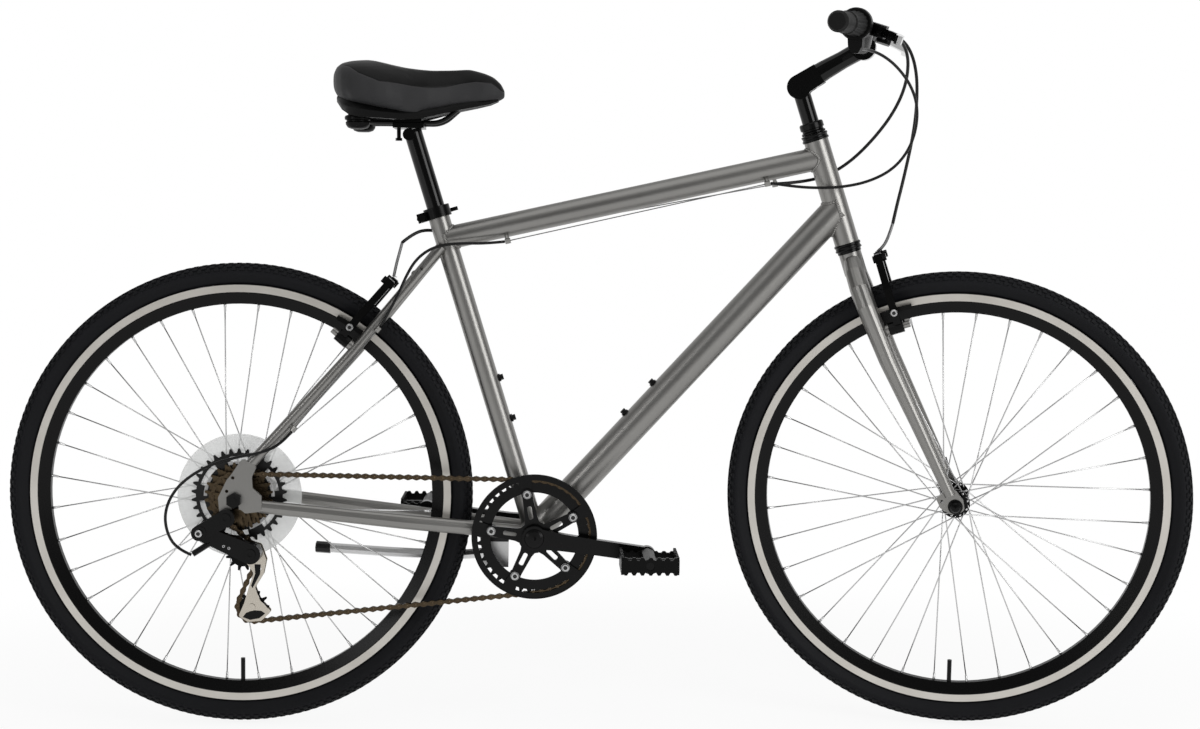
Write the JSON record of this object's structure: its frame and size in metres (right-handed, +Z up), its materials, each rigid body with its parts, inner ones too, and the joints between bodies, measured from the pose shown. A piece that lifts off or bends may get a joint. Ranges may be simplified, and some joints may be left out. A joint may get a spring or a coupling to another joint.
{
  "type": "hybrid bike",
  "caption": "Upright hybrid bicycle with a metallic grey welded frame, rigid fork, wide saddle, adjustable stem, rim brakes, chain drive and kickstand.",
  "frame": {"origin": "The point on the ground under the rear axle, in the frame's middle plane.", "axes": "+X points forward along the bicycle, +Y to the rider's left, +Z up; the drive side is -Y."},
  "size_m": [1.7763, 0.6054, 1.0884],
  "materials": {
    "frame_paint": "satin metallic paint",
    "black_alloy": "gloss black paint",
    "black_metal": "gloss black paint",
    "alloy": "brushed",
    "polished": "polished",
    "spoke_steel": "drawn wire",
    "steel": "zinc plated",
    "chain_steel": "brown plated",
    "sprocket_steel": "brown plated",
    "tyre_rubber": "moulded tread",
    "grip_rubber": "textured",
    "black_plastic": "moulded",
    "clear_plastic": "clear moulded",
    "saddle_cover": "stitched synthetic",
    "cage_alloy": "anodised",
    "cable_black": "smooth housing"
  },
  "bodies": {
    "frame": {"head_tube": "frame_paint", "top_tube": "frame_paint", "down_tube": "frame_paint", "seat_tube": "frame_paint", "bottom_bracket_shell": "frame_paint", "seat_stays": "frame_paint", "chain_stays": "frame_paint", "bottle_bolts": "black_metal", "bearing_cups": "black_metal", "seat_collar": "black_alloy", "rear_axle": "steel", "kickstand_bracket": "black_alloy", "derailleur_body": "black_alloy", "derailleur_cage": "cage_alloy", "chain": "chain_steel", "frame_cables": "cable_black", "control_cables": "cable_black"},
    "collar_lever": {"seat_collar_lever": "black_alloy"},
    "seat": {"seatpost": "black_alloy", "saddle_clamp": "black_metal", "saddle_rails": "black_metal", "saddle_base": "black_plastic", "saddle_cushion": "saddle_cover"},
    "rear_wheel": {"rear_tyre": "tyre_rubber", "rear_rim": "black_alloy", "rear_spokes": "spoke_steel", "rear_hub": "black_alloy", "spoke_protector": "clear_plastic"},
    "freewheel": {"sprockets": "sprocket_steel"},
    "crank": {"right_crank": "black_alloy", "left_crank": "black_alloy", "chainring": "steel", "chain_guard": "black_plastic", "chainring_bolts": "polished", "crank_spindle": "steel"},
    "pedal_right": {"right_pedal": "black_plastic"},
    "pedal_left": {"left_pedal": "black_plastic"},
    "guide_wheel": {"guide_pulley": "black_plastic"},
    "tension_wheel": {"tension_pulley": "black_plastic"},
    "kickstand": {"kickstand_leg": "alloy"},
    "steering": {"fork": "frame_paint", "headset_nuts": "black_metal", "stem_quill": "black_alloy", "front_axle": "steel"},
    "hub_lever": {"front_hub_lever": "black_metal"},
    "bars": {"stem_extension": "black_alloy", "handlebar": "black_alloy", "grips": "grip_rubber", "lever_brackets": "black_plastic"},
    "shifter": {"twist_shifter": "grip_rubber"},
    "lever_right": {"right_brake_lever": "polished"},
    "lever_left": {"left_brake_lever": "polished"},
    "front_wheel": {"front_tyre": "tyre_rubber", "front_rim": "black_alloy", "front_spokes": "spoke_steel", "front_hub": "black_alloy"},
    "front_arm_left": {"front_left_brake_arm": "black_alloy"},
    "front_arm_right": {"front_right_brake_arm": "black_alloy"},
    "rear_arm_left": {"rear_left_brake_arm": "black_alloy"},
    "rear_arm_right": {"rear_right_brake_arm": "black_alloy"}
  },
  "joints": [
    {"name": "steering_turn", "type": "hinge", "parent": "frame", "child": "steering", "pos_m": [0.88869, 0, 0.81062], "axis": [-0.309, 0, 0.9511], "range_deg": [-47.5, 72.5], "deforming": ["control_cables"]},
    {"name": "stem_angle", "type": "hinge", "parent": "steering", "child": "bars", "pos_m": [0.83662, 0, 0.97088], "axis": [0.2058, 0.9763, 0.0669], "range_deg": [-30, 20], "deforming": ["control_cables"]},
    {"name": "seatpost_height", "type": "slide", "parent": "frame", "child": "seat", "axis": [-0.2974, 0, 0.9548], "range_m": [-0.05, 0.09]},
    {"name": "rear_wheel_spin", "type": "hinge", "parent": "frame", "child": "rear_wheel", "pos_m": [0, 0, 0.349], "axis": [0, 1, 0], "continuous": true},
    {"name": "front_wheel_spin", "type": "hinge", "parent": "steering", "child": "front_wheel", "pos_m": [1.08499, -0.00974, 0.34867], "axis": [0.2058, 0.9763, 0.0669], "continuous": true},
    {"name": "crank_spin", "type": "hinge", "parent": "frame", "child": "crank", "pos_m": [0.4435, 0, 0.294], "axis": [0, 1, 0], "continuous": true, "deforming": ["chain"]},
    {"name": "freewheel_spin", "type": "hinge", "parent": "frame", "child": "freewheel", "pos_m": [0, 0, 0.349], "axis": [0, 1, 0], "continuous": true},
    {"name": "pedal_right_spin", "type": "hinge", "parent": "crank", "child": "pedal_right", "pos_m": [0.61185, 0, 0.27034], "axis": [0, 1, 0], "continuous": true},
    {"name": "pedal_left_spin", "type": "hinge", "parent": "crank", "child": "pedal_left", "pos_m": [0.27515, 0, 0.31766], "axis": [0, 1, 0], "continuous": true},
    {"name": "guide_wheel_spin", "type": "hinge", "parent": "frame", "child": "guide_wheel", "pos_m": [0.008, -0.0485, 0.264], "axis": [0, 1, 0], "continuous": true},
    {"name": "tension_wheel_spin", "type": "hinge", "parent": "frame", "child": "tension_wheel", "pos_m": [0.02247, -0.0485, 0.18532], "axis": [0, 1, 0], "continuous": true},
    {"name": "kickstand_fold", "type": "hinge", "parent": "frame", "child": "kickstand", "pos_m": [0.385, 0.03, 0.256], "axis": [0, -1, 0], "range_deg": [0, 116]},
    {"name": "shifter_twist", "type": "hinge", "parent": "bars", "child": "shifter", "pos_m": [0.88121, -0.21533, 1.04192], "axis": [0.3526, 0.9324, 0.0791], "range_deg": [-72, 36]},
    {"name": "lever_right_pull", "type": "hinge", "parent": "bars", "child": "lever_right", "pos_m": [0.92278, -0.18545, 1.03536], "axis": [-0.2826, 0.1867, -0.9409], "range_deg": [0, 17], "stiffness_Nm_per_rad": 0.6},
    {"name": "lever_left_pull", "type": "hinge", "parent": "bars", "child": "lever_left", "pos_m": [0.98846, 0.12901, 1.05684], "axis": [0.3078, -0.0673, 0.9491], "range_deg": [0, 17], "stiffness_Nm_per_rad": 0.6},
    {"name": "front_arm_left_turn", "type": "hinge", "parent": "steering", "child": "front_arm_left", "pos_m": [0.99875, 0.033, 0.61821], "axis": [0.9285, -0.2164, 0.3017], "range_deg": [0, 3]},
    {"name": "front_arm_right_turn", "type": "hinge", "parent": "steering", "child": "front_arm_right", "pos_m": [0.98146, -0.04901, 0.6126], "axis": [-0.9285, 0.2164, -0.3017], "range_deg": [0, 3]},
    {"name": "rear_arm_left_turn", "type": "hinge", "parent": "frame", "child": "rear_arm_left", "pos_m": [0.1568, 0.042, 0.58748], "axis": [0.7573, 0, -0.6531], "range_deg": [0, 3]},
    {"name": "rear_arm_right_turn", "type": "hinge", "parent": "frame", "child": "rear_arm_right", "pos_m": [0.1568, -0.042, 0.58748], "axis": [-0.7573, 0, 0.6531], "range_deg": [0, 3]},
    {"name": "collar_lever_open", "type": "hinge", "parent": "frame", "child": "collar_lever", "pos_m": [0.26975, 0.0175, 0.76777], "axis": [-0.2974, 0, 0.9548], "range_deg": [0, 150]},
    {"name": "hub_lever_open", "type": "hinge", "parent": "steering", "child": "hub_lever", "pos_m": [1.09909, 0.05714, 0.35325], "axis": [-0.9285, 0.2164, -0.3017], "range_deg": [0, 165]}
  ],
  "couplings": [
    {"joint": "freewheel_spin", "follows": "crank_spin", "ratio": 2.3333},
    {"joint": "guide_wheel_spin", "follows": "crank_spin", "ratio": -3.8182},
    {"joint": "tension_wheel_spin", "follows": "crank_spin", "ratio": 3.8182},
    {"joint": "front_arm_left_turn", "follows": "lever_left_pull", "ratio": 0.17647},
    {"joint": "front_arm_right_turn", "follows": "lever_left_pull", "ratio": 0.17647},
    {"joint": "rear_arm_left_turn", "follows": "lever_right_pull", "ratio": 0.17647},
    {"joint": "rear_arm_right_turn", "follows": "lever_right_pull", "ratio": 0.17647}
  ]
}
